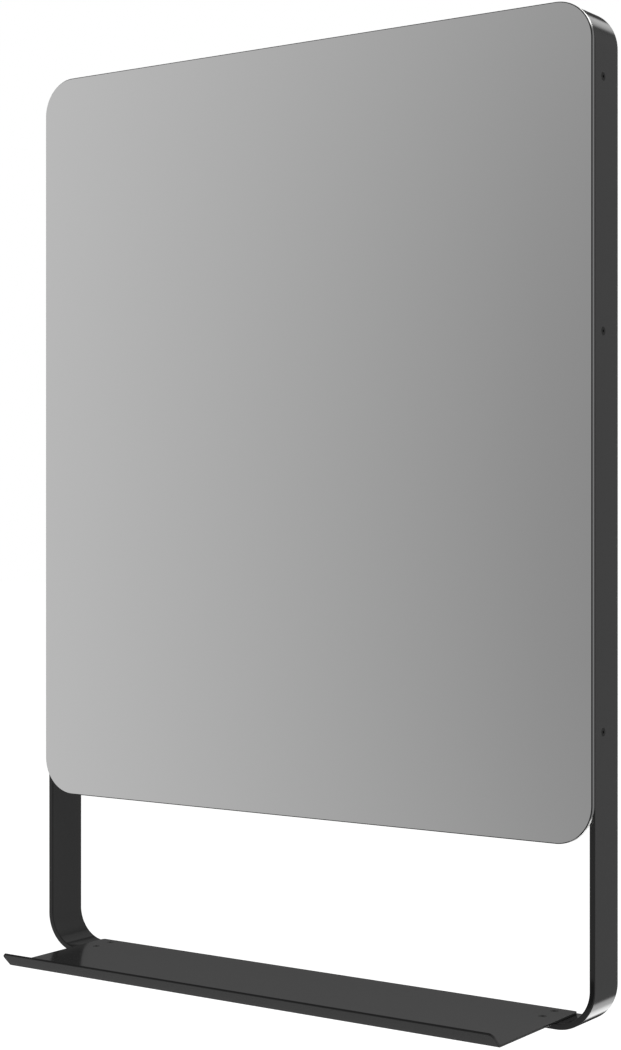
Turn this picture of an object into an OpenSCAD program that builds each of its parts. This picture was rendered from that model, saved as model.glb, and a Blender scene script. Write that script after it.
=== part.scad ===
// Wall mirror on a loop of flat steel bar, with a folded steel shelf on the loop's bottom bar.
// The origin lies on the wall, midway between the two keyholes that the mirror hangs by.
// +X is to the right as seen from the room, +Y goes into the wall and +Z is up.

/* [Frame band] */
// Overall width of the frame
frame_w = 700; // [600:10:900]
// Overall height of the frame
frame_h = 1000; // [940:10:1300]
// Depth of the flat bar, from the wall to its front edge
bar_depth = 50; // [45:1:80]
// Thickness of the flat bar
bar_t = 6; // [5:0.5:8]
// Radius on the four long edges of the flat bar
bar_edge_r = 0.8; // [0.3:0.1:1.5]
// Outside radius of the four bends
bend_r = 42; // [30:1:60]

/* [Mirror] */
// Height of the glass
glass_h = 818; // [700:1:880]
// Thickness of the glass
glass_t = 5; // [4:1:8]
// Radius of the glass's corners
glass_corner_r = 40; // [20:1:80]
// Width of the ground arris on the glass's front and back edges
glass_arris = 0.8; // [0.4:0.1:1.2]
// How far the glass stands out past the frame at each side and at the top
glass_overhang = 0; // [0:0.5:5]
// Thickness of the silvering, paint and safety film on the back of the glass
backing_t = 0.2; // [0.1:0.1:0.6]
// Bare border between the backing and the glass's edge
backing_margin = 1.5; // [1.5:0.5:4]
// Thickness of the mirror tape
tape_t = 0.8; // [0.5:0.1:2]
// Width of the mirror tape
tape_w = 30; // [15:1:32]
// Bare stretch at each end of a strip of tape
tape_end_gap = 20; // [5:1:100]

/* [Crossbars] */
// Sheet thickness of the crossbars
sheet_t = 1.5; // [1:0.5:3]
// Inside radius of the crossbars' folds
fold_r = 1.5; // [1:0.5:3]
// Height of the flange that the glass is taped to
front_flange_h = 40; // [38:1:46]
// Height of the rear flange of the top and lower crossbars
rear_flange_h = 40; // [34:1:46]
// Depth of the middle crossbar
middle_depth = 30; // [28:1:44]
// Top of the frame to the top crossbar's screws
top_bar_drop = 73; // [70:1:110]
// Top of the frame to the middle crossbar's screws
middle_bar_drop = 320; // [200:1:450]
// Lower edge of the glass to the lower crossbar's screws
lower_bar_rise = 109; // [60:1:160]
// Height of an end tab
tab_h = 32; // [28:1:34]
// Underside of a crossbar to the screws in its end tabs
tab_screw_rise = 18; // [14:1:20]
// Gap between an end tab and the frame, taken up by a rivet nut's head
tab_gap = 1; // [0.8:0.1:1.5]
// Radius of the end tabs' upper corners
tab_corner_r = 5; // [2:1:8]
// Clear space between an end tab and the folds beside it
tab_relief = 1; // [0.5:0.5:3]

/* [Wall fixing] */
// Distance between the two keyholes
hook_spacing = 400; // [300:10:480]
// Diameter of a keyhole's entry
keyhole_d = 10; // [9:0.5:12]
// Width of a keyhole's slot
keyhole_slot_w = 5; // [4:0.5:6]
// Height from a keyhole's entry to the place where the wall screw rests
keyhole_travel = 10; // [9:1:14]
// Underside of the top crossbar to the keyholes' entries
keyhole_rise = 14; // [12:1:17]
// Diameter of a wall pad
pad_d = 18; // [10:1:30]
// Thickness of a wall pad
pad_t = 2; // [1:0.5:4]
// Distance between the two wall pads
pad_spacing = 560; // [300:10:560]

/* [Shelf] */
// Sheet thickness of the shelf
shelf_t = 2.5; // [2:0.5:4]
// Flat of the shelf, from its back edge to the start of its front fold
shelf_flat = 156.5; // [100:0.5:200]
// Space between the shelf's back edge and the wall
shelf_wall_gap = 2.5; // [0:0.5:10]
// Space between the end of the shelf and the start of the frame's bend
shelf_end_gap = 0.5; // [0.5:0.5:40]
// Flat of the lip, from the end of the fold to its upper edge
lip_flat = 18.5; // [10:0.5:30]
// Angle that the lip is folded up by
lip_angle = 45; // [20:5:90]
// Inside radius of the lip's fold
lip_fold_r = 1.5; // [1:0.5:3]
// Radius of the lip's upper corners
lip_corner_r = 6; // [2:1:9]
// Radius of the shelf's back corners
shelf_corner_r = 4; // [1:1:10]

/* [Screws] */
// Outside diameter of the screws' thread, a little less than its nominal 4 mm
screw_d = 3.9; // [2.9:0.1:4.9]
// Diameter of a countersunk head
head_d = 8; // [7:0.5:9]
// Height of the straight rim of a head
head_rim = 0.2; // [0.1:0.1:0.4]
// Hexagon socket, across its flats
socket_af = 2.5; // [2:0.5:3]
// Depth of the hexagon socket
socket_depth = 1.6; // [1:0.1:2]
// Length of the side screws, with the head
side_screw_len = 14; // [12:1:16]
// Front edge of the frame to the side screws
side_screw_set_back = 18; // [14:1:19]
// Length of the shelf screws, with the head
shelf_screw_len = 8; // [5:1:8]
// End of the shelf to its screws
shelf_screw_inset = 20; // [10:1:60]
// Back edge of the shelf to its rear screws
shelf_screw_back = 12; // [8:1:14]
// Distance between the two screws at one end of the shelf
shelf_screw_pitch = 25; // [12:1:26]
// Play round a screw in a plain hole
hole_play = 0.3; // [0.1:0.05:0.5]
// Play round a screw in a thread
thread_play = 0.05; // [0.02:0.01:0.1]
// Wall of a rivet nut's barrel
nut_wall = 1; // [0.7:0.1:1.5]
// Width of a rivet nut's head round its barrel
nut_head_step = 1; // [0.7:0.1:2]
// Length of a rivet nut behind the tab, of which the first third is the formed bulb
nut_tail = 7; // [5:1:10]

/* [Hidden] */
$fn = 64;
eps = 0.01;
fold_steps = 8;

// Heights, from the wall fixing outwards
top_z = top_bar_drop + tab_screw_rise - keyhole_rise;
bottom_z = top_z - frame_h;
glass_top_z = top_z + glass_overhang;
glass_bottom_z = glass_top_z - glass_h;
top_screw_z = top_z - top_bar_drop;
middle_screw_z = top_z - middle_bar_drop;
lower_screw_z = glass_bottom_z + lower_bar_rise;
side_screw_heights = [top_screw_z, middle_screw_z, lower_screw_z];

// Places across the width
leg_in_x = frame_w / 2 - bar_t;
bend_x = frame_w / 2 - bend_r;
tab_x = leg_in_x - tab_gap;
fold_out = fold_r + sheet_t;
channel_x = tab_x - fold_out;
glass_w = frame_w + 2 * glass_overhang;
tape_l = 2 * (channel_x - tape_end_gap);

// Places from the wall towards the room
front_y = -bar_depth;
backing_y = front_y - tape_t;
glass_y = backing_y - backing_t;
side_screw_y = front_y + side_screw_set_back;

// Screws: a head's seat is a 90 degree cone, one millimetre narrower for each half millimetre of depth
seat_r = head_d / 2 + head_rim;
hole_r = screw_d / 2 + hole_play;
thread_r = screw_d / 2 + thread_play;
nut_barrel_r = thread_r + nut_wall;

// Shelf
shelf_x = bend_x - shelf_end_gap;
shelf_z = bottom_z + bar_t;
shelf_back_y = -shelf_wall_gap;
lip_outer_r = lip_fold_r + shelf_t;
fold_y = shelf_back_y - shelf_flat;
shelf_screw_places = [
    for (side = [-1, 1], row = [0, 1])
        [side * (shelf_x - shelf_screw_inset), shelf_back_y - shelf_screw_back - row * shelf_screw_pitch]
];

// ---- Helpers ------------------------------------------------------------------------------------

// Outline lying in X and Z, given its thickness along Y; it ends at depth y nearer the wall
module upright(y, t) {
    translate([0, y, 0]) rotate([90, 0, 0]) linear_extrude(t) children();
}

// Outline lying in Y and Z, carried along X from x
module along_x(x, len) {
    translate([x, 0, 0]) rotate([90, 0, 90]) linear_extrude(len) children();
}

// Children at both ends of the frame, the left ones mirrored
module both_sides() {
    for (side = [0, 1]) mirror([side, 0, 0]) children();
}

// Rectangle from the origin with four rounded corners
module round_rect(w, h, r) {
    translate([r, 0]) square([w - 2 * r, h]);
    translate([0, r]) square([w, h - 2 * r]);
    for (x = [r, w - r], y = [r, h - r]) translate([x, y]) circle(r);
}

// Rectangle centred on X with its foot on the X axis and its two upper corners rounded
module round_top_rect(w, h, r) {
    translate([-w / 2, 0]) square([w, h - r]);
    translate([-w / 2 + r, h - 2 * r]) square([w - 2 * r, 2 * r]);
    for (side = [-1, 1]) translate([side * (w / 2 - r), h - r]) circle(r);
}

// Plate w by h by t lying on XY, with corners of radius r. Its children are half of its section, drawn from
// X = -r to the edge at X = 0 with the thickness along Y: swept along the sides, and turned in the corners
module round_plate(w, h, t, r) {
    for (x = [-1, 1], y = [-1, 1]) translate([x * (w / 2 - r), y * (h / 2 - r), 0])
        rotate_extrude() translate([r, 0]) children();
    translate([0, h / 2 - r, 0]) rotate([90, 0, 0]) linear_extrude(h - 2 * r)
        across(w, t, r) children();
    translate([-w / 2 + r, 0, 0]) rotate([90, 0, 90]) linear_extrude(w - 2 * r)
        across(h, t, r) children();
}

// Whole section of a plate w across, from the half of it that ends at X = 0
module across(w, t, r) {
    for (side = [0, 1]) mirror([side, 0]) translate([w / 2, 0]) children();
    translate([-w / 2 + r, 0]) square([w - 2 * r, t]);
}

// Section of a right-angled fold in the crossbars' sheet, with its outer corner at the origin
module fold_section() {
    translate([fold_out, fold_out]) intersection() {
        difference() {
            circle(fold_out);
            circle(fold_r);
        }
        translate([-fold_out, -fold_out]) square(fold_out);
    }
}

// Cone that a countersunk head sits in, its mouth at the origin and its axis going down -Z
module head_seat() {
    translate([0, 0, -seat_r]) cylinder(h = seat_r, r1 = 0, r2 = seat_r);
    cylinder(h = 1, r = seat_r);
}

// Countersunk screw with a hexagon socket, its head's face at the origin and its tip down -Z
module countersunk_screw(len) {
    tip = screw_d / 8;
    r = screw_d / 2;
    head_r = head_d / 2;
    cone_h = head_r - r;
    difference() {
        rotate_extrude() polygon([
            [0, 0], [head_r, 0], [head_r, -head_rim], [r, -head_rim - cone_h],
            [r, -len + tip], [r - tip, -len], [0, -len],
        ]);
        translate([0, 0, -socket_depth])
            cylinder(h = socket_depth + eps, d = socket_af / cos(30), $fn = 6);
    }
}

// Children turned so that -Z points into the right leg, at one side screw's place
module at_side_screw(z) {
    translate([frame_w / 2, side_screw_y, z]) rotate([0, 90, 0]) children();
}

// ---- Frame band ---------------------------------------------------------------------------------

// Section of the flat bar: its thickness along X, from the outside of the loop, and its depth along Y
module bar_section() {
    translate([-bar_t, 0]) round_rect(bar_t, bar_depth, bar_edge_r);
}

// All that the loop's outer face encloses: half of its section is the bar, filled up to the corner's axis
module band_outside() {
    round_plate(frame_w, frame_h, bar_depth, bend_r) {
        bar_section();
        translate([-bend_r, 0]) square([bend_r - bar_t / 2, bar_depth]);
    }
}

// All that the loop's inner face encloses, with the edges flared as the bar's edges are round
module band_inside() {
    inner_r = bend_r - bar_t;
    translate([0, 0, -1]) round_plate(frame_w - 2 * bar_t, frame_h - 2 * bar_t, bar_depth + 2, inner_r)
        difference() {
            translate([-inner_r, 0]) square([inner_r + bar_edge_r, bar_depth + 2]);
            translate([bar_t, 1]) bar_section();
        }
}

module frame_band() {
    color("#2a2a2b") difference() {
        translate([0, 0, top_z - frame_h / 2]) rotate([90, 0, 0]) difference() {
            band_outside();
            band_inside();
        }
        both_sides() for (z = side_screw_heights) at_side_screw(z) {
            head_seat();
            translate([0, 0, -bar_t - 1]) cylinder(h = bar_t + 2, r = hole_r);
        }
        for (p = shelf_screw_places) translate([p[0], p[1], bottom_z]) {
            translate([0, 0, -1]) cylinder(h = bar_t + 2, r = thread_r);
            translate([0, 0, bar_t + shelf_t]) head_seat();
        }
    }
}

// ---- Mirror -------------------------------------------------------------------------------------

module mirror_glass() {
    color("#b4b8b8") translate([0, glass_y, glass_top_z - glass_h / 2]) rotate([90, 0, 0])
        round_plate(glass_w, glass_h, glass_t, glass_corner_r) polygon([
            [-glass_corner_r, 0], [-glass_arris, 0], [0, glass_arris],
            [0, glass_t - glass_arris], [-glass_arris, glass_t], [-glass_corner_r, glass_t],
        ]);
}

module mirror_backing() {
    w = glass_w - 2 * backing_margin;
    color("#6d7073") upright(backing_y, backing_t)
        translate([-w / 2, glass_bottom_z + backing_margin])
            round_rect(w, glass_h - 2 * backing_margin, glass_corner_r - backing_margin);
}

// ---- Crossbars ----------------------------------------------------------------------------------

// Front flange and web of a crossbar d deep, in Y and Z from its front lower corner
module angle_section(d) {
    fold_section();
    translate([0, fold_out]) square([sheet_t, front_flange_h - fold_out]);
    translate([fold_out, 0]) square([d - fold_out, sheet_t]);
}

// The same with a rear flange
module channel_section(d) {
    angle_section(d - fold_out);
    translate([d, 0]) mirror([1, 0]) fold_section();
    translate([d - sheet_t, fold_out]) square([sheet_t, rear_flange_h - fold_out]);
}

// End tab on the right: folded up from a web d deep, with the hole for its rivet nut
module end_tab(d) {
    w = d - 2 * (fold_out + tab_relief);
    translate([tab_x, (d + w) / 2, 0]) rotate([90, 0, 0]) linear_extrude(w)
        mirror([1, 0]) fold_section();
    difference() {
        translate([0, d / 2, fold_out]) along_x(tab_x - sheet_t, sheet_t)
            round_top_rect(w, tab_h - fold_out, tab_corner_r);
        translate([tab_x - sheet_t - 1, side_screw_set_back, tab_screw_rise]) rotate([0, 90, 0])
            cylinder(h = sheet_t + 2, r = nut_barrel_r);
    }
}

// Crossbar d deep between the legs, its front face on the frame's front edge; its child is its section
module crossbar(screw_z, d) {
    translate([0, front_y, screw_z - tab_screw_rise]) {
        along_x(-channel_x, 2 * channel_x) children();
        both_sides() end_tab(d);
    }
}

// Keyhole through an upright sheet at the wall: round entry, and a slot up to the resting place
module keyhole(x) {
    upright(1, sheet_t + 2) translate([x, 0]) {
        circle(d = keyhole_d);
        translate([-keyhole_slot_w / 2, 0]) square([keyhole_slot_w, keyhole_travel]);
        translate([0, keyhole_travel]) circle(d = keyhole_slot_w);
    }
}

module top_crossbar() {
    color("#3a3c3e") difference() {
        crossbar(top_screw_z, bar_depth) channel_section(bar_depth);
        for (side = [-1, 1]) keyhole(side * hook_spacing / 2);
    }
}

module middle_crossbar() {
    color("#3a3c3e") crossbar(middle_screw_z, middle_depth) angle_section(middle_depth);
}

module lower_crossbar() {
    depth = bar_depth - pad_t;
    color("#3a3c3e") crossbar(lower_screw_z, depth) channel_section(depth);
}

// Strip of tape on the flat of a crossbar's front flange
module tape(screw_z) {
    gap = (front_flange_h - fold_out - tape_w) / 2;
    color("#d8d8d4") upright(front_y, tape_t)
        translate([-tape_l / 2, screw_z - tab_screw_rise + fold_out + gap]) square([tape_l, tape_w]);
}

module top_tape() { tape(top_screw_z); }

module middle_tape() { tape(middle_screw_z); }

module lower_tape() { tape(lower_screw_z); }

// ---- Fasteners and pads -------------------------------------------------------------------------

// Rivet nut: its head at the origin, then the barrel through the tab, the bulb and the tail, down -Z
module rivet_nut() {
    head_r = nut_barrel_r + nut_head_step;
    grip = tab_gap + sheet_t;
    bulb = grip + nut_tail / 3;
    rotate_extrude() polygon([
        [thread_r, 0], [head_r, 0], [head_r, -tab_gap], [nut_barrel_r, -tab_gap],
        [nut_barrel_r, -grip], [head_r, -grip], [nut_barrel_r, -bulb],
        [nut_barrel_r, -grip - nut_tail], [thread_r, -grip - nut_tail],
    ]);
}

module rivet_nuts() {
    color("#b0b2b0") both_sides() for (z = side_screw_heights)
        at_side_screw(z) translate([0, 0, -bar_t]) rivet_nut();
}

module side_screws() {
    color("#1c1c1d") both_sides() for (z = side_screw_heights)
        at_side_screw(z) countersunk_screw(side_screw_len);
}

module shelf_screws() {
    color("#1c1c1d") for (p = shelf_screw_places)
        translate([p[0], p[1], shelf_z + shelf_t]) countersunk_screw(shelf_screw_len);
}

// Round pads on the back of the lower crossbar, level with the frame's back edge
module wall_pads() {
    z = lower_screw_z - tab_screw_rise + rear_flange_h / 2;
    r = pad_d / 2;
    edge = pad_t / 4;
    color("#202021") for (side = [-1, 1]) translate([side * pad_spacing / 2, -pad_t, z]) rotate([-90, 0, 0])
        rotate_extrude() polygon([[0, 0], [r, 0], [r, pad_t - edge], [r - edge, pad_t], [0, pad_t]]);
}

// ---- Shelf --------------------------------------------------------------------------------------

// Points of an arc about c, from the angle a to the angle b
function arc(c, r, a, b) =
    [for (i = [0:fold_steps]) let (t = a + (b - a) * i / fold_steps) c + r * [cos(t), sin(t)]];

// Section of the shelf in Y and Z, from the start of the fold: the lip rises in front, the flat goes back
function shelf_section() =
    let (
        centre = [0, lip_outer_r],
        start = 270 - lip_angle,
        up = lip_flat * [-cos(lip_angle), sin(lip_angle)],
        outer = arc(centre, lip_outer_r, 270, start),
        inner = arc(centre, lip_fold_r, start, 270)
    )
    concat([[shelf_flat, shelf_t], [shelf_flat, 0]], outer, [outer[fold_steps] + up, inner[0] + up], inner);

// What a round corner leaves out of a square one that has its corner at the origin
module corner_cut(r) {
    difference() {
        translate([-r, -r]) square(r + 1);
        translate([-r, -r]) circle(r);
    }
}

// Folded sheet, with its back corners round from above and its lip's corners round from the front
module shelf_sheet() {
    lip_top = lip_outer_r - lip_fold_r * cos(lip_angle) + lip_flat * sin(lip_angle);
    difference() {
        translate([0, fold_y, shelf_z]) along_x(-shelf_x, 2 * shelf_x) polygon(shelf_section());
        both_sides() {
            translate([shelf_x, shelf_back_y, shelf_z - 1])
                linear_extrude(shelf_t + 2) corner_cut(shelf_corner_r);
            upright(fold_y, 2 * lip_flat)
                translate([shelf_x, shelf_z + lip_top]) corner_cut(lip_corner_r);
        }
    }
}

module shelf() {
    color("#333334") difference() {
        shelf_sheet();
        for (p = shelf_screw_places) translate([p[0], p[1], shelf_z + shelf_t]) {
            head_seat();
            translate([0, 0, -shelf_t - 1]) cylinder(h = shelf_t + 2, r = hole_r);
        }
    }
}

frame_band();
mirror_glass();
mirror_backing();
top_crossbar();
middle_crossbar();
lower_crossbar();
top_tape();
middle_tape();
lower_tape();
rivet_nuts();
side_screws();
wall_pads();
shelf();
shelf_screws();
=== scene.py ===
"""The looks of a wall mirror on a loop of flat steel bar, with a folded steel shelf on the bottom bar.

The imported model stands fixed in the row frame: +X right, +Y into the wall, +Z up, in metres. The loop,
the glass and the shelf are remade here as smooth surfaces round the same sizes, and every other piece
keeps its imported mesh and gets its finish.
"""

import logging
from dataclasses import dataclass
from enum import Enum
from typing import Any, Sequence

import bmesh
import bpy
import numpy as np
from mathutils import Euler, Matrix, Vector
from numpy.typing import NDArray


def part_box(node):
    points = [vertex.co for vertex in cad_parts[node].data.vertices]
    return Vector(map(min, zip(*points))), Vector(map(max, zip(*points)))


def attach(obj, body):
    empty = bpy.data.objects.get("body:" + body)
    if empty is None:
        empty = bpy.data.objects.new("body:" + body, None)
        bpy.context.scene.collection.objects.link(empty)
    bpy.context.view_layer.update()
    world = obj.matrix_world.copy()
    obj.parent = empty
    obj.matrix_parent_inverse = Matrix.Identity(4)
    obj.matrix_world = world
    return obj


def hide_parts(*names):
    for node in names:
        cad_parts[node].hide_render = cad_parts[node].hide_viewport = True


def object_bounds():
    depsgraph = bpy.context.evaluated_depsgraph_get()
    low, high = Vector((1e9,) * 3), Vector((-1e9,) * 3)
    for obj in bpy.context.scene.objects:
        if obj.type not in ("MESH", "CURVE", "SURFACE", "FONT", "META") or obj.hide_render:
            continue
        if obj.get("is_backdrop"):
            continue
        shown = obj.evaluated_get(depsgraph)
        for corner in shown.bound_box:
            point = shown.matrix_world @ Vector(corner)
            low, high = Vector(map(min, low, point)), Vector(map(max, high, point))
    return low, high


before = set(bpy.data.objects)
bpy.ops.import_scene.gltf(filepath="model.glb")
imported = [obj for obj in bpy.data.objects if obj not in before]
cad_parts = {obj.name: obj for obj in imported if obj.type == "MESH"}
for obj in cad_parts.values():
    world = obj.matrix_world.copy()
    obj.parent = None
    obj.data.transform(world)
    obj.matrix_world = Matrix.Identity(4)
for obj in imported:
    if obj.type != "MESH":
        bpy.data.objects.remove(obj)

LOG = logging.getLogger("wall_mirror")
MM = 0.001

Array = NDArray[np.float64]
Triple = tuple[float, float, float]
# The centre of a hole's mouth, and the direction from there into the material.
Place = tuple[Vector, Vector]

# Faces that meet at a smaller angle are shaded as one surface.
SMOOTH_UP_TO = np.radians(30.0)
# Points that are nearer to each other are one.
SAME_POINT = 1e-6
# How finely the round corners of an outline and the round edges of a section are drawn.
CORNER_STEPS = 32
CORNER_SHOULDER = 2.0 * MM
EDGE_STEPS = 5
EDGE_SHOULDER = 0.5 * MM
# The vertex attribute that tells how much of the painted white flash, a painted highlight, the glass side
# gets at its round corners.
PAINTED_FLASH = "ground"
# The middle of a noise texture's range, where nearly all of its values lie.
NOISE_SPAN = {"From Min": 0.3, "From Max": 0.7}
# The Mix node's sockets by number, since several of them share a name.
FACTOR = 0
LEVEL_A = 2
LEVEL_B = 3
COLOUR_A = 6
COLOUR_B = 7
MIXED_LEVEL = 0
MIXED_COLOUR = 2


# ---- Colours and nodes -------------------------------------------------------------------------------


def linear(code: str) -> tuple[float, float, float, float]:
    """Turns an sRGB hex colour into linear RGBA.

    Args:
        code: The colour as #rrggbb.

    Returns:
        Four numbers. Each channel c of the first three is c / 12.92 up to 0.04045 and
        ((c + 0.055) / 1.055) ^ 2.4 above it; alpha is 1.
    """
    c = np.array([int(code[i : i + 2], 16) for i in (1, 3, 5)]) / 255.0
    value = np.where(c <= 0.04045, c / 12.92, ((c + 0.055) / 1.055) ** 2.4)
    return (*map(float, value), 1.0)


def per_metre(size_mm: float) -> float:
    """Returns how many times a size in millimetres fits in a metre, which is a pattern's scale."""
    return 1.0 / (size_mm * MM)


def add_node(
    tree: bpy.types.NodeTree, kind: str, inputs: dict[Any, Any] | None = None, **settings: Any
) -> bpy.types.Node:
    """Adds one node to a tree.

    Args:
        tree: The node tree of a material, a world or a light.
        kind: The node's type, such as ShaderNodeTexNoise.
        inputs: Values for input sockets by name or number; an output socket given as a value is linked.
        settings: Attributes of the node itself.

    Returns:
        The new node.
    """
    node = tree.nodes.new(kind)
    for name, value in settings.items():
        setattr(node, name, value)
    for key, value in (inputs or {}).items():
        if isinstance(value, bpy.types.NodeSocket):
            tree.links.new(value, node.inputs[key])
        else:
            node.inputs[key].default_value = value
    return node


# ---- Finishes ----------------------------------------------------------------------------------------


class Sheen(Enum):
    """How a surface is finished, as the roughness of its shader."""

    GLOSS = 0.1
    SILK = 0.15
    SATIN = 0.3
    MATT = 0.7


@dataclass(frozen=True)
class Finish:
    """What all finishes share: the real material's name and its colour."""

    name: str
    colour: str

    def sockets(self, tree: bpy.types.NodeTree, place: bpy.types.NodeSocket) -> dict[str, Any]:
        """Works out constants and outputs to link, by the name of the Principled shader's socket."""
        raise NotImplementedError

    def material(self) -> bpy.types.Material:
        """Returns the material, making it the first time."""
        return bpy.data.materials.get(self.name) or self.make()

    def make(self) -> bpy.types.Material:
        """Makes the material round one Principled shader.

        Returns:
            The new material.
        """
        material = bpy.data.materials.new(self.name)
        material.use_nodes = True
        material.diffuse_color = linear(self.colour)
        tree = material.node_tree
        tree.nodes.clear()
        place = add_node(tree, "ShaderNodeTexCoord").outputs["Object"]
        sockets = {"Base Color": linear(self.colour), **self.sockets(tree, place)}
        shader = add_node(tree, "ShaderNodeBsdfPrincipled", sockets)
        add_node(tree, "ShaderNodeOutputMaterial", {"Surface": shader.outputs["BSDF"]})
        return material


@dataclass(frozen=True)
class PowderCoat(Finish):
    """Black polyester powder, sprayed on steel and baked.

    It gives the eye a deep, even black with a gloss that gathers in bright bars across the bends, and
    close up the faint orange peel of the melted powder, with waves 2 mm long and a few thousandths of a
    millimetre high. The gloss drifts a little with the film's thickness.
    """

    sheen: Sheen = Sheen.GLOSS
    drift: float = 0.02
    drift_mm: float = 160.0
    peel_mm: float = 2.2
    peel_height_mm: float = 0.004

    def sockets(self, tree: bpy.types.NodeTree, place: bpy.types.NodeSocket) -> dict[str, Any]:
        """Draws the drift of the film's thickness and its peel.

        Args:
            tree: The material's node tree.
            place: The piece's Object coordinates, in metres.

        Returns:
            The index of refraction, the drifting roughness and the peel's relief, by the shader's socket.
        """
        film = add_node(tree, "ShaderNodeTexNoise", {
            "Vector": place, "Scale": per_metre(self.drift_mm), "Detail": 3.0,
        })
        gloss = add_node(tree, "ShaderNodeMapRange", {
            "Value": film.outputs[0], **NOISE_SPAN,
            "To Min": self.sheen.value - self.drift, "To Max": self.sheen.value + self.drift,
        })
        peel = add_node(tree, "ShaderNodeTexNoise", {
            "Vector": place, "Scale": per_metre(self.peel_mm), "Detail": 2.0,
        })
        relief = add_node(tree, "ShaderNodeBump", {
            "Height": peel.outputs[0], "Distance": self.peel_height_mm * MM,
        })
        return {"IOR": 1.5, "Roughness": gloss.outputs[0], "Normal": relief.outputs[0]}


@dataclass(frozen=True)
class SilveredGlass(Finish):
    """Float glass silvered on its back, taken as one mirror at its front.

    It gives the eye a clear picture of the room, a shade darker than the room itself, since light crosses
    the glass twice. The haze that cleaning leaves is far too weak to blur what it shows.
    """

    haze: float = 0.03
    haze_mm: float = 90.0

    def sockets(self, tree: bpy.types.NodeTree, place: bpy.types.NodeSocket) -> dict[str, Any]:
        """Draws the haze.

        Args:
            tree: The material's node tree.
            place: The piece's Object coordinates, in metres.

        Returns:
            A metal's reflection and the haze as its roughness, by the shader's socket.
        """
        cloth = add_node(tree, "ShaderNodeTexNoise", {
            "Vector": place, "Scale": per_metre(self.haze_mm), "Detail": 4.0,
        })
        blur = add_node(tree, "ShaderNodeMapRange", {
            "Value": cloth.outputs[0], **NOISE_SPAN, "To Max": self.haze,
        })
        return {"Metallic": 1.0, "Roughness": blur.outputs[0]}


@dataclass(frozen=True)
class PolishedGlass(Finish):
    """The polished arris of the glass, which shows the silvering from the side.

    It gives the eye a thin dark line round the mirror, where it looks into the dark of the room, broken
    up by the wheel's marks, half a millimetre long.
    """

    smoothest: float = 0.03
    roughest: float = 0.1
    mark_mm: float = 0.6

    def sockets(self, tree: bpy.types.NodeTree, place: bpy.types.NodeSocket) -> dict[str, Any]:
        """Draws the wheel's marks.

        Args:
            tree: The material's node tree.
            place: The piece's Object coordinates, in metres.

        Returns:
            A metal's reflection and the marks as its roughness, by the shader's socket.
        """
        marks = add_node(tree, "ShaderNodeTexNoise", {
            "Vector": place, "Scale": per_metre(self.mark_mm), "Detail": 2.0,
        })
        polish = add_node(tree, "ShaderNodeMapRange", {
            "Value": marks.outputs[0], **NOISE_SPAN, "To Min": self.smoothest, "To Max": self.roughest,
        })
        return {"Metallic": 1.0, "Roughness": polish.outputs[0]}


@dataclass(frozen=True)
class GlassSideWithPaintedFlash(PolishedGlass):
    """The side of the glass: polished along the straights, with a painted highlight at the round corners.

    It gives the eye a grey line along the straights and a painted white flash at each corner: a pale,
    rough, less mirror-like colour that stands in for the highlight that the light gives there.
    """

    # The white and the roughness of the painted highlight at the corners.
    ground_colour: str = "#f6f6f4"
    ground_sheen: Sheen = Sheen.SATIN

    def sockets(self, tree: bpy.types.NodeTree, place: bpy.types.NodeSocket) -> dict[str, Any]:
        """Turns the polished glass into the painted white flash, a painted highlight, by the piece's own
        measure of it.

        Args:
            tree: The material's node tree.
            place: The piece's Object coordinates, in metres.

        Returns:
            The colour, the share of a metal's reflection and the roughness, by the shader's socket.
        """
        polished = super().sockets(tree, place)
        # How much of the painted highlight each vertex gets: whiter, rougher and less of a mirror.
        ground = add_node(tree, "ShaderNodeAttribute", attribute_name=PAINTED_FLASH).outputs["Fac"]
        tone = add_node(tree, "ShaderNodeMix", {
            FACTOR: ground, COLOUR_A: linear(self.colour), COLOUR_B: linear(self.ground_colour),
        }, data_type="RGBA")
        mirror = add_node(tree, "ShaderNodeMapRange", {"Value": ground, "To Min": 1.0, "To Max": 0.0})
        blur = add_node(tree, "ShaderNodeMix", {
            FACTOR: ground, LEVEL_A: polished["Roughness"], LEVEL_B: self.ground_sheen.value,
        })
        return {
            "Base Color": tone.outputs[MIXED_COLOUR],
            "Metallic": mirror.outputs[0],
            "Roughness": blur.outputs[MIXED_LEVEL],
        }


@dataclass(frozen=True)
class BackingFilm(Finish):
    """Grey mirror paint under a clear safety film.

    It gives the eye a flat grey with a low plastic shine, broken by the faint streaks of the roller that
    laid the film down, and a slow mottle in the paint.
    """

    streak_mm: float = 6.0
    streak_squeeze: float = 0.03
    streak_height_mm: float = 0.02
    mottle_mm: float = 35.0
    mottle_colour: str = "#5f6468"

    def sockets(self, tree: bpy.types.NodeTree, place: bpy.types.NodeSocket) -> dict[str, Any]:
        """Draws the mottle, and the streaks, which a squeezed Z draws out.

        Args:
            tree: The material's node tree.
            place: The piece's Object coordinates, in metres.

        Returns:
            The mottled colour, the film's shine and the streaks' relief, by the shader's socket.
        """
        drawn = add_node(tree, "ShaderNodeMapping", {
            "Vector": place, "Scale": (1.0, 1.0, self.streak_squeeze),
        })
        streaks = add_node(tree, "ShaderNodeTexNoise", {
            "Vector": drawn.outputs[0], "Scale": per_metre(self.streak_mm), "Detail": 3.0,
        })
        relief = add_node(tree, "ShaderNodeBump", {
            "Height": streaks.outputs[0], "Distance": self.streak_height_mm * MM,
        })
        mottle = add_node(tree, "ShaderNodeTexNoise", {
            "Vector": place, "Scale": per_metre(self.mottle_mm), "Detail": 5.0,
        })
        tone = add_node(tree, "ShaderNodeMix", {
            FACTOR: mottle.outputs[0],
            COLOUR_A: linear(self.colour), COLOUR_B: linear(self.mottle_colour),
        }, data_type="RGBA")
        return {
            "Base Color": tone.outputs[MIXED_COLOUR],
            "Roughness": 0.4,
            "IOR": 1.5,
            "Normal": relief.outputs[0],
        }


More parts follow.
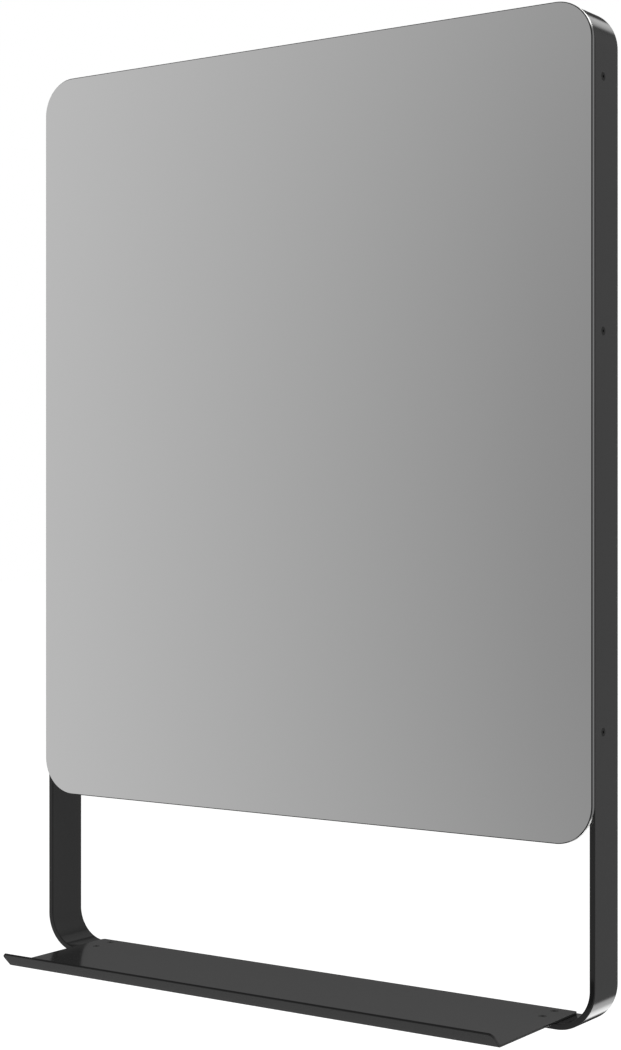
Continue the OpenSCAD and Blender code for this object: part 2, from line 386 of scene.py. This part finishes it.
@dataclass(frozen=True)
class FoamTape(Finish):
    """Closed-cell foam tape.

    It gives the eye a soft off-white edge with no shine, pitted by the cut cells, a third of a millimetre
    across.
    """

    cell_mm: float = 0.35
    cell_height_mm: float = 0.08

    def sockets(self, tree: bpy.types.NodeTree, place: bpy.types.NodeSocket) -> dict[str, Any]:
        """Draws the cells.

        Args:
            tree: The material's node tree.
            place: The piece's Object coordinates, in metres.

        Returns:
            A dull surface and the cells' relief, by the shader's socket.
        """
        cells = add_node(tree, "ShaderNodeTexVoronoi", {
            "Vector": place, "Scale": per_metre(self.cell_mm),
        })
        relief = add_node(tree, "ShaderNodeBump", {
            "Height": cells.outputs[0], "Distance": self.cell_height_mm * MM,
        })
        return {"Roughness": 0.9, "IOR": 1.48, "Normal": relief.outputs[0]}


@dataclass(frozen=True)
class ZincPlate(Finish):
    """Bright or black zinc on steel.

    It gives the eye a small hard glint, clouded by the passivation in blots 2 mm across.
    """

    metal: float = 1.0
    sheen: Sheen = Sheen.SATIN
    cloud: float = 0.1
    cloud_mm: float = 1.8

    def sockets(self, tree: bpy.types.NodeTree, place: bpy.types.NodeSocket) -> dict[str, Any]:
        """Draws the clouds.

        Args:
            tree: The material's node tree.
            place: The piece's Object coordinates, in metres.

        Returns:
            The share of a metal's reflection and the clouded roughness, by the shader's socket.
        """
        clouds = add_node(tree, "ShaderNodeTexNoise", {
            "Vector": place, "Scale": per_metre(self.cloud_mm), "Detail": 4.0,
        })
        gloss = add_node(tree, "ShaderNodeMapRange", {
            "Value": clouds.outputs[0], **NOISE_SPAN,
            "To Min": self.sheen.value - self.cloud, "To Max": self.sheen.value + self.cloud,
        })
        return {"Metallic": self.metal, "Roughness": gloss.outputs[0]}


@dataclass(frozen=True)
class Rubber(Finish):
    """Moulded rubber.

    It gives the eye a dull charcoal with the faint pebble of an eroded mould, half a millimetre across.
    """

    sheen: Sheen = Sheen.MATT
    pebble_mm: float = 0.5
    pebble_height_mm: float = 0.03

    def sockets(self, tree: bpy.types.NodeTree, place: bpy.types.NodeSocket) -> dict[str, Any]:
        """Draws the pebble.

        Args:
            tree: The material's node tree.
            place: The piece's Object coordinates, in metres.

        Returns:
            A dull surface and the pebble's relief, by the shader's socket.
        """
        pebble = add_node(tree, "ShaderNodeTexNoise", {
            "Vector": place, "Scale": per_metre(self.pebble_mm), "Detail": 3.0,
        })
        relief = add_node(tree, "ShaderNodeBump", {
            "Height": pebble.outputs[0], "Distance": self.pebble_height_mm * MM,
        })
        return {"Roughness": self.sheen.value, "IOR": 1.52, "Normal": relief.outputs[0]}


# ---- Surfaces ----------------------------------------------------------------------------------------


@dataclass(frozen=True)
class RoundRectangle:
    """A rectangle with round corners, run counter-clockwise with the same points whatever its size.

    In corner k the angle t runs a quarter turn from k quarter turns, and the outward normal is
    (cos t, sin t). A shoulder is one more point on the straight side, that far from each end of the round,
    which keeps the shading of the side flat.
    """

    radius: float
    steps: int
    shoulder: float

    def angles(self) -> Array:
        """Returns the angle t of every point."""
        run = np.pad(np.linspace(0.0, np.pi / 2, self.steps + 1), 1, mode="edge")
        return (np.arange(4)[:, None] * (np.pi / 2) + run).ravel()

    def normals(self) -> Array:
        """Returns the outward normal of every point."""
        t = self.angles()
        return np.stack([np.cos(t), np.sin(t)], axis=-1)

    def points(self, width: Array | float, height: Array | float) -> Array:
        """Works out the points about the centre.

        Args:
            width: Along the first axis; an array gives one outline for each of its values.
            height: Along the second axis, in the same way.

        Returns:
            Each point is its corner's centre, plus the radius times the normal, plus the shoulder along
            the side.
        """
        corner = np.repeat([[1, 1], [-1, 1], [-1, -1], [1, -1]], self.steps + 3, axis=0)
        half = np.stack(np.broadcast_arrays(width, height), axis=-1)[..., None, :] / 2
        normal = self.normals()
        slide = np.tile(np.concatenate([[-1.0], np.zeros(self.steps + 1), [1.0]]), 4) * self.shoulder
        along = slide[:, None] * np.stack([-normal[:, 1], normal[:, 0]], axis=-1)
        return corner * (half - self.radius) + self.radius * normal + along


def carried_round(path: Array, normals: Array, section: Array, centre: Array) -> Array:
    """Carries a section round an upright path.

    Args:
        path: The path's points, in X and Z about its centre.
        normals: Its outward normals.
        section: The section's points: how far in from the path, and the place along Y.
        centre: Where the path's centre is, in X and Z.

    Returns:
        One ring of points for each point of the path: the path's point less its normal times the
        section's first number, with the section's second number as Y.
    """
    inset = path[:, None, :] - normals[:, None, :] * section[None, :, :1]
    depth = np.broadcast_to(section[None, :, 1], inset.shape[:2])
    return np.stack([inset[..., 0] + centre[0], depth, inset[..., 1] + centre[1]], axis=-1)


def ring_faces(rings: int, points: int, closed: bool) -> list[list[int]]:
    """Numbers the faces between neighbouring rings.

    Args:
        rings: How many rings there are.
        points: How many points each ring has.
        closed: Whether the last ring joins the first; otherwise one flat face shuts each end.

    Returns:
        The vertex numbers of each face; point j of ring i has the number i times points plus j.
    """
    i = np.arange(rings if closed else rings - 1)[:, None]
    j = np.arange(points)[None, :]
    side, above = (j + 1) % points, (i + 1) % rings
    here, there = i * points, above * points
    faces = np.stack([here + j, here + side, there + side, there + j], axis=-1).reshape(-1, 4).tolist()
    if not closed:
        faces += [list(range(points)), list(range((rings - 1) * points, rings * points))]
    return faces


def new_piece(name: str, rings: Array, closed: bool) -> bpy.types.Object:
    """Makes a mesh object from rings of points.

    Args:
        name: The piece's name.
        rings: An array of rings by points by three.
        closed: Whether the last ring joins the first.

    Returns:
        The object, at the origin, with its faces turned outwards.
    """
    count, points = rings.shape[:2]
    mesh = bpy.data.meshes.new(name)
    mesh.from_pydata(rings.reshape(-1, 3).tolist(), [], ring_faces(count, points, closed))
    piece = bpy.data.objects.new(name, mesh)
    bpy.context.scene.collection.objects.link(piece)
    settle(mesh)
    return piece


def settle(mesh: bpy.types.Mesh) -> None:
    """Merges doubles, turns the faces outwards, and shades smooth up to the sharp angle.

    Args:
        mesh: The mesh to change.
    """
    work = bmesh.new()
    work.from_mesh(mesh)
    bmesh.ops.remove_doubles(work, verts=work.verts, dist=SAME_POINT)
    bmesh.ops.recalc_face_normals(work, faces=work.faces)
    work.to_mesh(mesh)
    work.free()
    mesh.shade_smooth()
    mesh.set_sharp_from_angle(angle=SMOOTH_UP_TO)


def turned(name: str, profile: Array, origin: Vector, axis: Vector, steps: int = 48) -> bpy.types.Object:
    """Turns a profile about an axis.

    Args:
        name: The object's name.
        profile: Radius and height of each point, from one end of the solid to the other.
        origin: Where the height is 0.
        axis: The direction in which the height grows.
        steps: Chords in a full turn.

    Returns:
        A closed solid. Point (r, h) goes to the origin plus h times the axis plus r times the unit vector
        at each angle in the plane across the axis.
    """
    turn = axis.to_track_quat("Z", "Y")
    t = np.arange(steps) * (2 * np.pi / steps)
    side, front = np.array(turn @ Vector((1, 0, 0))), np.array(turn @ Vector((0, 1, 0)))
    spoke = np.cos(t)[:, None] * side + np.sin(t)[:, None] * front
    radius, height = profile[:, 0, None, None], profile[:, 1, None, None]
    return new_piece(name, np.array(origin) + radius * spoke + height * np.array(axis), closed=False)


@dataclass(frozen=True)
class Hole:
    """A round hole with a 90 degree countersink; the same radius twice makes it plain."""

    mouth_radius: float
    radius: float
    spare: float = 1.0 * MM

    def cutter(self, mouth: Vector, inward: Vector, through: float) -> bpy.types.Object:
        """Makes the solid that cuts the hole.

        Args:
            mouth: The centre of the hole's mouth.
            inward: The direction into the material.
            through: The material's thickness.

        Returns:
            The cutter, a little longer than the hole at both ends.
        """
        profile = np.array([
            [self.mouth_radius, -self.spare],
            [self.mouth_radius, 0.0],
            [self.radius, self.mouth_radius - self.radius],
            [self.radius, through + self.spare],
        ])
        return turned("cutter", profile, mouth, inward)

    def drill(self, piece: bpy.types.Object, places: Sequence[Place], through: float) -> None:
        """Cuts the hole into a piece for good, at several places.

        Args:
            piece: The mesh object.
            places: The centre of each hole's mouth, with the direction into the material.
            through: The material's thickness.
        """
        cutters = [self.cutter(mouth, inward, through) for mouth, inward in places]
        for cutter in cutters:
            modifier = piece.modifiers.new("hole", "BOOLEAN")
            modifier.operation = "DIFFERENCE"
            modifier.solver = "EXACT"
            modifier.object = cutter
        whole = piece.data
        drilled = piece.evaluated_get(bpy.context.evaluated_depsgraph_get())
        piece.data = bpy.data.meshes.new_from_object(drilled)
        piece.modifiers.clear()
        bpy.data.meshes.remove(whole)
        for cutter in cutters:
            bpy.data.meshes.remove(cutter.data)
        settle(piece.data)


# ---- Sub-assemblies ----------------------------------------------------------------------------------


def finish_piece(piece: bpy.types.Object, finishes: Sequence[Finish], node: str) -> None:
    """Dresses a new piece and fixes it to the frame.

    Args:
        piece: The mesh object.
        finishes: Its finishes, in the order of its faces' material numbers.
        node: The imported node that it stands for.
    """
    piece.data.materials.clear()
    for finish in finishes:
        piece.data.materials.append(finish.material())
    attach(piece, "root")
    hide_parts(node)
    LOG.info("%s: %d faces, stands for %s", piece.name, len(piece.data.polygons), node)


@dataclass
class Screws:
    """The holes that the screws need, and where they sit, from the screws' packed boxes."""

    seat: Hole = Hole(mouth_radius=4.2 * MM, radius=2.25 * MM)
    tapped: Hole = Hole(mouth_radius=2.0 * MM, radius=2.0 * MM)
    head_radius: float = 4.0 * MM
    rise_over_bar: float = 18.0 * MM
    bars: tuple[str, ...] = ("top_crossbar", "middle_crossbar", "lower_crossbar")

    def in_sides(self) -> list[Place]:
        """Works out where the side screws enter the band.

        Returns:
            The centre of each hole's mouth on the legs' outer faces, with the direction into the band.
        """
        low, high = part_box("frame_band")
        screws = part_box("side_screws")
        depth = (screws[0].y + screws[1].y) / 2
        heights = [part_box(bar)[0].z + self.rise_over_bar for bar in self.bars]
        right = [(Vector((high.x, depth, z)), Vector((-1, 0, 0))) for z in heights]
        left = [(Vector((low.x, depth, z)), Vector((1, 0, 0))) for z in heights]
        return right + left

    def in_shelf(self, level: float, inward: int) -> list[Place]:
        """Works out where the shelf screws pass a level.

        Args:
            level: The height of the holes' mouths.
            inward: 1 if the holes go up from there, or -1 if they go down.

        Returns:
            The centre of each hole's mouth, with the direction into the material.
        """
        low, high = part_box("shelf_screws")
        r = self.head_radius
        spots = [(x, y) for x in (low.x + r, high.x - r) for y in (low.y + r, high.y - r)]
        return [(Vector((x, y, level)), Vector((0, 0, inward))) for x, y in spots]


@dataclass
class FrameBand:
    """The loop of flat bar, bent at four corners, with the holes of its screws."""

    paint: PowderCoat
    screws: Screws
    bar_thickness: float = 6.0 * MM
    bend_radius: float = 42.0 * MM
    edge_radius: float = 0.8 * MM

    def build(self) -> None:
        """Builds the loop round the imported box, cuts its holes and paints it."""
        low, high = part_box("frame_band")
        path = RoundRectangle(self.bend_radius, CORNER_STEPS, CORNER_SHOULDER)
        bar = RoundRectangle(self.edge_radius, EDGE_STEPS, EDGE_SHOULDER)
        middle = np.array([self.bar_thickness / 2, (low.y + high.y) / 2])
        section = bar.points(self.bar_thickness, high.y - low.y) + middle
        centre = np.array([low.x + high.x, low.z + high.z]) / 2
        outline = path.points(high.x - low.x, high.z - low.z)
        rings = carried_round(outline, path.normals(), section, centre)
        band = new_piece("steel_band", rings, closed=True)
        self.screws.seat.drill(band, self.screws.in_sides(), self.bar_thickness)
        self.screws.tapped.drill(band, self.screws.in_shelf(low.z, inward=1), self.bar_thickness)
        finish_piece(band, [self.paint], "frame_band")


@dataclass
class MirrorGlass:
    """The silvered glass: a plate with round corners, and an arris round each face."""

    silver: SilveredGlass
    arris: PolishedGlass
    side: GlassSideWithPaintedFlash
    corner_radius: float = 40.0 * MM
    front_arris: float = 1.0 * MM
    back_arris: float = 0.3 * MM
    # Angles into a corner, in degrees, where the painted highlight begins and where it is whole.
    ground_from: float = 12.0
    ground_whole: float = 24.0
    face_on: float = 0.99
    edge_on: float = 0.1

    def build(self) -> None:
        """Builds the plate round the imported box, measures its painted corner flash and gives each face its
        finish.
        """
        low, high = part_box("mirror_glass")
        path = RoundRectangle(self.corner_radius, CORNER_STEPS, CORNER_SHOULDER)
        front, back = self.front_arris, self.back_arris
        section = np.array([[front, low.y], [0.0, low.y + front], [0.0, high.y - back], [back, high.y]])
        centre = np.array([low.x + high.x, low.z + high.z]) / 2
        width, height = high.x - low.x, high.z - low.z
        rings = carried_round(path.points(width, height), path.normals(), section, centre)
        glass = new_piece("silvered_glass", rings.transpose(1, 0, 2), closed=False)
        self.measure_painted_flash(glass.data, centre, np.array([width, height]) / 2)
        finish_piece(glass, [self.silver, self.arris, self.side], "mirror_glass")
        self.share_out(glass.data)

    def measure_painted_flash(self, mesh: bpy.types.Mesh, centre: Array, half: Array) -> None:
        """Measures on each vertex how much of the painted white flash, a painted highlight, the edge gets.

        The angle into a corner is that of the vertex about the corner's centre, from the nearer side. The
        measure is 3 u squared less 2 u cubed, where u grows evenly from 0 at the first of the two angles
        to 1 at the second.

        Args:
            mesh: The glass.
            centre: Its centre, in X and Z.
            half: Half its width and half its height.
        """
        place = np.empty(len(mesh.vertices) * 3)
        mesh.vertices.foreach_get("co", place)
        across = np.abs(place.reshape(-1, 3)[:, ::2] - centre) - (half - self.corner_radius)
        past = np.clip(across, 0.0, None)
        turn = np.degrees(np.arctan2(past.min(axis=1), past.max(axis=1)))
        u = np.clip((turn - self.ground_from) / (self.ground_whole - self.ground_from), 0.0, 1.0)
        layer = mesh.attributes.new(PAINTED_FLASH, "FLOAT", "POINT")
        layer.data.foreach_set("value", (3 * u**2 - 2 * u**3).astype(np.float32))

    def share_out(self, mesh: bpy.types.Mesh) -> None:
        """Numbers the faces by their normals: 0 the front, 2 the side, 1 the arrises and the back.

        Args:
            mesh: The glass.
        """
        normal = np.empty(len(mesh.polygons) * 3)
        mesh.polygons.foreach_get("normal", normal)
        depthwise = normal.reshape(-1, 3)[:, 1]
        edge = np.where(np.abs(depthwise) < self.edge_on, 2, 1)
        number = np.where(depthwise < -self.face_on, 0, edge)
        mesh.polygons.foreach_set("material_index", number.astype(np.int32))


@dataclass
class Shelf:
    """The folded sheet: a long flat with a lip folded up along its front."""

    paint: PowderCoat
    screws: Screws
    thickness: float = 2.5 * MM
    flat: float = 156.5 * MM
    fold_radius: float = 1.5 * MM
    fold_degrees: float = 45.0
    lip: float = 18.5 * MM
    back_corner: float = 4.0 * MM
    lip_corner: float = 6.0 * MM
    edge_radius: float = 0.5 * MM
    curve_points: int = 9

    @property
    def bend(self) -> float:
        """Radius of the fold at the sheet's middle."""
        return self.fold_radius + self.thickness / 2

    @property
    def fold_end(self) -> float:
        """Distance from the back edge, along the sheet's middle line, to the end of the fold."""
        return self.flat + self.bend * np.radians(self.fold_degrees)

    @property
    def end(self) -> float:
        """Distance from the back edge to the lip's edge."""
        return self.fold_end + self.lip

    def stations(self) -> Array:
        """Spaces the rings, close together at the edges, round corners and fold.

        Returns:
            Distances from the back edge, in order. In a round of radius r they are r (1 - cos t) from its
            end, for even steps of t over a quarter turn.
        """
        quarter = 1 - np.cos(np.linspace(0.0, np.pi / 2, self.curve_points))
        return np.unique(np.round(np.concatenate([
            self.edge_radius * quarter,
            self.back_corner * quarter,
            np.linspace(self.flat, self.fold_end, self.curve_points),
            self.end - self.edge_radius * quarter,
            self.end - self.lip_corner * quarter,
        ]), decimals=8))

    def middle_line(self, s: Array, back: float, level: float) -> tuple[Array, Array]:
        """Follows the sheet's middle line.

        Args:
            s: Distances from the back edge.
            back: The back edge's Y.
            level: The flat's middle height.

        Returns:
            Points and upward normals in Y and Z. The line runs towards -Y and turns up with the slope a,
            which grows evenly from 0 to the fold's angle: the arc's point is its start plus the bend's
            radius times (-sin a, 1 - cos a), and the lip runs on along (-cos a, sin a).
        """
        a = (np.clip(s, self.flat, self.fold_end) - self.flat) / self.bend
        past = np.clip(s - self.fold_end, 0.0, None)
        y = back - np.clip(s, 0.0, self.flat) - self.bend * np.sin(a) - past * np.cos(a)
        z = level + self.bend * (1 - np.cos(a)) + past * np.sin(a)
        return np.stack([y, z], axis=-1), np.stack([np.sin(a), np.cos(a)], axis=-1)

    def pulled_in(self, s: Array, first: float, last: float) -> Array:
        """Works out how far round corners pull an edge in.

        Args:
            s: Distances from the back edge.
            first: Radius of the corner at the back edge.
            last: Radius of the corner at the lip's edge.

        Returns:
            At a distance d from the nearer end, r less the root of r squared less (r - d) squared, where r
            is that end's radius; nothing further from the end than r.
        """
        near = np.clip(first - s, 0.0, first)
        far = np.clip(last - (self.end - s), 0.0, last)
        return first - np.sqrt(first**2 - near**2) + last - np.sqrt(last**2 - far**2)

    def build(self) -> None:
        """Builds the sheet as a strip carried along its middle line, cuts its holes and paints it."""
        low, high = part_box("shelf")
        s = self.stations()
        line, up = self.middle_line(s, high.y, low.z + self.thickness / 2)
        width = (high.x - low.x) - 2 * self.pulled_in(s, self.back_corner, self.lip_corner)
        depth = self.thickness - 2 * self.pulled_in(s, self.edge_radius, self.edge_radius)
        strip = RoundRectangle(self.edge_radius, EDGE_STEPS, EDGE_SHOULDER)
        section = strip.points(width, np.maximum(depth, 2 * self.edge_radius))
        across, lift = section[..., 0], section[..., 1:]
        rings = np.concatenate([across[..., None], line[:, None, :] + lift * up[:, None, :]], axis=-1)
        shelf = new_piece("steel_shelf", rings, closed=False)
        mouths = self.screws.in_shelf(low.z + self.thickness, inward=-1)
        self.screws.seat.drill(shelf, mouths, self.thickness)
        finish_piece(shelf, [self.paint], "shelf")


@dataclass
class Fixings:
    """All that sits behind the glass or in the bar's holes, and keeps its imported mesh."""

    worn: dict[Finish, tuple[str, ...]]

    def dress(self) -> None:
        """Gives each node its finish."""
        for finish, nodes in self.worn.items():
            for node in nodes:
                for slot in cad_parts[node].material_slots:
                    slot.material = finish.material()
                LOG.info("%s: dressed in %s", node, finish.name)


# ---- Studio ------------------------------------------------------------------------------------------


@dataclass(frozen=True)
class Panel:
    """A round panel far away, which only gloss shows: a soft light or, with a low level, a dark flag."""

    towards: Triple
    half_degrees: float
    soft_degrees: float
    level: float

    def add(
        self, tree: bpy.types.NodeTree, direction: bpy.types.NodeSocket, behind: bpy.types.NodeSocket
    ) -> bpy.types.NodeSocket:
        """Adds the panel to the world's nodes.

        Args:
            tree: The world's node tree.
            direction: The ray's direction.
            behind: The level of what the panel hides.

        Returns:
            The panel's level within the half angle, easing over the soft edge to the level behind.
        """
        aim = Vector(self.towards).normalized()
        near = add_node(tree, "ShaderNodeVectorMath", {0: direction, 1: aim}, operation="DOT_PRODUCT")
        outer, inner = np.cos(np.radians([self.half_degrees + self.soft_degrees, self.half_degrees]))
        mask = add_node(tree, "ShaderNodeMapRange", {
            "Value": near.outputs["Value"], "From Min": float(outer), "From Max": float(inner),
        }, interpolation_type="SMOOTHSTEP")
        hung = add_node(tree, "ShaderNodeMix", {
            FACTOR: mask.outputs[0], LEVEL_A: behind, LEVEL_B: self.level,
        })
        return hung.outputs[MIXED_LEVEL]


@dataclass(frozen=True)
class Lamp:
    """A square soft lamp that faces the object's middle; its side is in metres, its power in watts."""

    name: str
    place: Triple
    side: float
    power: float

    def hang(self) -> None:
        """Hangs the lamp, hidden from the camera and from gloss."""
        low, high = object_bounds()
        middle = (Vector(low) + Vector(high)) / 2
        data = bpy.data.lights.new(self.name, "AREA")
        data.shape = "SQUARE"
        data.size = self.side
        data.energy = self.power
        lamp = bpy.data.objects.new(self.name, data)
        lamp.location = self.place
        lamp.rotation_euler = (middle - Vector(self.place)).to_track_quat("-Z", "Y").to_euler()
        lamp.visible_camera = False
        lamp.visible_glossy = False
        bpy.context.scene.collection.objects.link(lamp)


@dataclass
class Studio:
    """The plain studio: a white ground, a grey surround for gloss, two soft lamps and the camera.

    The surround is a list of compass angles with the linear grey of each. The angle is 0 straight in front
    of the object, 90 on its right and 180 behind it. The sky lightens it on one side, growing as the dot
    product of a ray's direction with that side's goes from the first of two numbers to the second.
    """

    floor_drop: float = 0.95
    floor_span: float = 60.0
    floor_colour: str = "#f2f2f2"
    floor_lift: float = 0.48
    ground_colour: str = "#ffffff"
    diffuse_level: float = 0.6
    sky_level: float = 0.65
    sky_side: Triple = (-0.57, -0.82, 0.0)
    sky_from: float = 0.1
    sky_whole: float = 0.5
    sky_gain: float = 2.6
    surround: tuple[tuple[float, float], ...] = (
        (-180.0, 0.05), (-160.0, 0.07), (-153.0, 0.21), (-138.0, 0.165), (-125.0, 0.25),
        (-95.0, 0.25), (-60.0, 0.3), (-46.0, 0.52), (-42.0, 0.527), (-27.0, 0.275),
        (-10.0, 0.33), (45.0, 0.33), (56.0, 0.05), (72.0, 0.05), (90.0, 0.35),
        (112.0, 0.45), (145.0, 0.45), (157.0, 0.35), (168.0, 0.2), (180.0, 0.05),
    )
    panels: tuple[Panel, ...] = (
        Panel((-0.2, -0.1, 1.0), 45.0, 14.0, 0.08),
        Panel((-0.5, 0.15, -0.85), 30.0, 15.0, 0.32),
        Panel((-0.04, 0.74, 0.67), 8.0, 6.0, 0.36),
        Panel((0.0, 0.866, 0.5), 0.5, 11.0, 1.45),
        Panel((0.01, 0.87, -0.48), 9.5, 5.0, 1.7),
        Panel((-0.072, 0.868, -0.491), 2.0, 6.0, 2.6),
        Panel((-0.52, 0.80, -0.27), 12.0, 5.0, 0.0),
    )
    lamps: tuple[Lamp, ...] = (
        Lamp("key_lamp", (2.6, -0.6, 1.6), side=1.6, power=60.0),
        Lamp("top_lamp", (-0.4, -1.4, 2.6), side=2.0, power=60.0),
    )
    camera_place: Triple = (1.2477, -1.8329, -0.41915)
    camera_yaw: float = 34.609
    sensor_height: float = 36.0
    lens: float = 70.43
    shift: float = -0.0118
    far_clip: float = 200.0

    def gloss(self, tree: bpy.types.NodeTree) -> bpy.types.NodeSocket:
        """Works out the level that glossy rays see.

        Args:
            tree: The world's node tree.

        Returns:
            The surround's grey by compass angle, which is the arctangent of x over -y, mixed towards the
            sky level by the direction's height squared times the gain on the sky's side, with the panels
            hung before it.
        """
        direction = add_node(tree, "ShaderNodeTexCoord").outputs["Generated"]
        x, y, z = add_node(tree, "ShaderNodeSeparateXYZ", {0: direction}).outputs
        ahead = add_node(tree, "ShaderNodeMath", {0: y, 1: -1.0}, operation="MULTIPLY").outputs[0]
        compass = add_node(tree, "ShaderNodeMath", {0: x, 1: ahead}, operation="ARCTAN2").outputs[0]
        turn = add_node(tree, "ShaderNodeMapRange", {
            "Value": compass, "From Min": -np.pi, "From Max": np.pi,
        })
        ring = add_node(tree, "ShaderNodeValToRGB", {0: turn.outputs[0]})
        elements = ring.color_ramp.elements
        for _ in self.surround[2:]:
            elements.new(1.0)
        for element, (angle, grey) in zip(elements, self.surround):
            element.position = (angle + 180.0) / 360.0
            element.color = (grey, grey, grey, 1.0)
        height = add_node(tree, "ShaderNodeMath", {0: z, 1: z}, operation="MULTIPLY")
        skyward = add_node(tree, "ShaderNodeVectorMath", {
            0: direction, 1: self.sky_side,
        }, operation="DOT_PRODUCT")
        facing = add_node(tree, "ShaderNodeMapRange", {
            "Value": skyward.outputs["Value"],
            "From Min": self.sky_from, "From Max": self.sky_whole, "To Max": self.sky_gain,
        }, interpolation_type="SMOOTHSTEP")
        share = add_node(tree, "ShaderNodeMath", {
            0: height.outputs[0], 1: facing.outputs[0],
        }, operation="MULTIPLY", use_clamp=True)
        level = add_node(tree, "ShaderNodeMix", {
            FACTOR: share.outputs[0], LEVEL_A: ring.outputs[0], LEVEL_B: self.sky_level,
        }).outputs[MIXED_LEVEL]
        for panel in self.panels:
            level = panel.add(tree, direction, level)
        return level

    def world(self) -> None:
        """Makes the world: white to the camera and through glass, even for diffuse light, grey for gloss."""
        world = bpy.data.worlds.new("studio")
        bpy.context.scene.world = world
        world.use_nodes = True
        tree = world.node_tree
        tree.nodes.clear()
        ray = add_node(tree, "ShaderNodeLightPath").outputs
        lit = add_node(tree, "ShaderNodeMix", {
            FACTOR: ray["Is Glossy Ray"], LEVEL_A: self.diffuse_level, LEVEL_B: self.gloss(tree),
        }).outputs[MIXED_LEVEL]
        seen = add_node(tree, "ShaderNodeMath", {
            0: ray["Is Camera Ray"], 1: ray["Is Transmission Ray"],
        }, operation="MAXIMUM").outputs[0]
        level = add_node(tree, "ShaderNodeMix", {
            FACTOR: seen, LEVEL_A: lit, LEVEL_B: 1.0,
        }).outputs[MIXED_LEVEL]
        ground = add_node(tree, "ShaderNodeBackground", {
            "Color": linear(self.ground_colour), "Strength": level,
        })
        add_node(tree, "ShaderNodeOutputWorld", {"Surface": ground.outputs[0]})

    def floor(self) -> None:
        """Lays the pale floor well below the object, lifted to white for the camera, keeping the shadow."""
        low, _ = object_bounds()
        corners = np.array([[-1, -1], [1, -1], [1, 1], [-1, 1]]) * self.floor_span / 2
        points = np.column_stack([corners, np.full(4, low[2] - self.floor_drop)])
        mesh = bpy.data.meshes.new("floor")
        mesh.from_pydata(points.tolist(), [], [(0, 1, 2, 3)])
        floor = bpy.data.objects.new("floor", mesh)
        bpy.context.scene.collection.objects.link(floor)
        floor.visible_glossy = False
        material = bpy.data.materials.new("pale_floor")
        material.use_nodes = True
        tree = material.node_tree
        tree.nodes.clear()
        matt = add_node(tree, "ShaderNodeBsdfDiffuse", {"Color": linear(self.floor_colour)})
        camera = add_node(tree, "ShaderNodeLightPath").outputs["Is Camera Ray"]
        lift = add_node(tree, "ShaderNodeMath", {0: camera, 1: self.floor_lift}, operation="MULTIPLY")
        glow = add_node(tree, "ShaderNodeEmission", {
            "Color": linear(self.ground_colour), "Strength": lift.outputs[0],
        })
        both = add_node(tree, "ShaderNodeAddShader", {0: matt.outputs[0], 1: glow.outputs[0]})
        add_node(tree, "ShaderNodeOutputMaterial", {"Surface": both.outputs[0]})
        mesh.materials.append(material)
        floor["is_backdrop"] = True

    def camera(self) -> None:
        """Sets the camera up level, turned by the yaw from a view straight along +Y."""
        data = bpy.data.cameras.new("camera")
        data.sensor_fit = "VERTICAL"
        data.sensor_height = self.sensor_height
        data.lens = self.lens
        data.shift_y = self.shift
        data.clip_end = self.far_clip
        camera = bpy.data.objects.new("camera", data)
        camera.location = self.camera_place
        camera.rotation_euler = Euler((np.pi / 2, 0.0, np.radians(self.camera_yaw)))
        bpy.context.scene.collection.objects.link(camera)
        bpy.context.scene.camera = camera

    def build(self) -> None:
        """Sets up the world, the floor, the lamps and the camera."""
        bpy.context.scene.view_settings.view_transform = "Standard"
        self.world()
        self.floor()
        for lamp in self.lamps:
            lamp.hang()
        self.camera()


def main() -> None:
    """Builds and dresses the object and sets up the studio."""
    logging.basicConfig(level=logging.INFO, format="%(name)s: %(message)s")
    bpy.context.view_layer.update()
    paint = PowderCoat("black_powder_coat", "#191919")
    # The same powder, which lies a little rougher on the shelf.
    shelf_paint = PowderCoat("black_powder_coat_silk", "#191919", Sheen.SILK)
    screws = Screws()
    FrameBand(paint, screws).build()
    MirrorGlass(
        SilveredGlass("silvered_float_glass", "#f4f4f4"),
        PolishedGlass("polished_glass_arris", "#aaaaaa"),
        # The glass side's round corners carry a painted highlight, a white flash.
        GlassSideWithPaintedFlash("corner_ground_glass_side", "#aaaaaa"),
    ).build()
    Shelf(shelf_paint, screws).build()
    Fixings({
        paint: ("top_crossbar", "middle_crossbar", "lower_crossbar"),
        BackingFilm("mirror_paint_under_film", "#6d7073"): ("mirror_backing",),
        FoamTape("closed_cell_foam", "#d8d8d4"): ("top_tape", "middle_tape", "lower_tape"),
        ZincPlate("bright_zinc_plate", "#b9bcbd"): ("rivet_nuts",),
        ZincPlate("black_zinc_plate", "#0e0e0e", metal=0.6): ("side_screws", "shelf_screws"),
        Rubber("moulded_rubber", "#242425"): ("wall_pads",),
    }).dress()
    Studio().build()


if __name__ == "__main__":
    main()
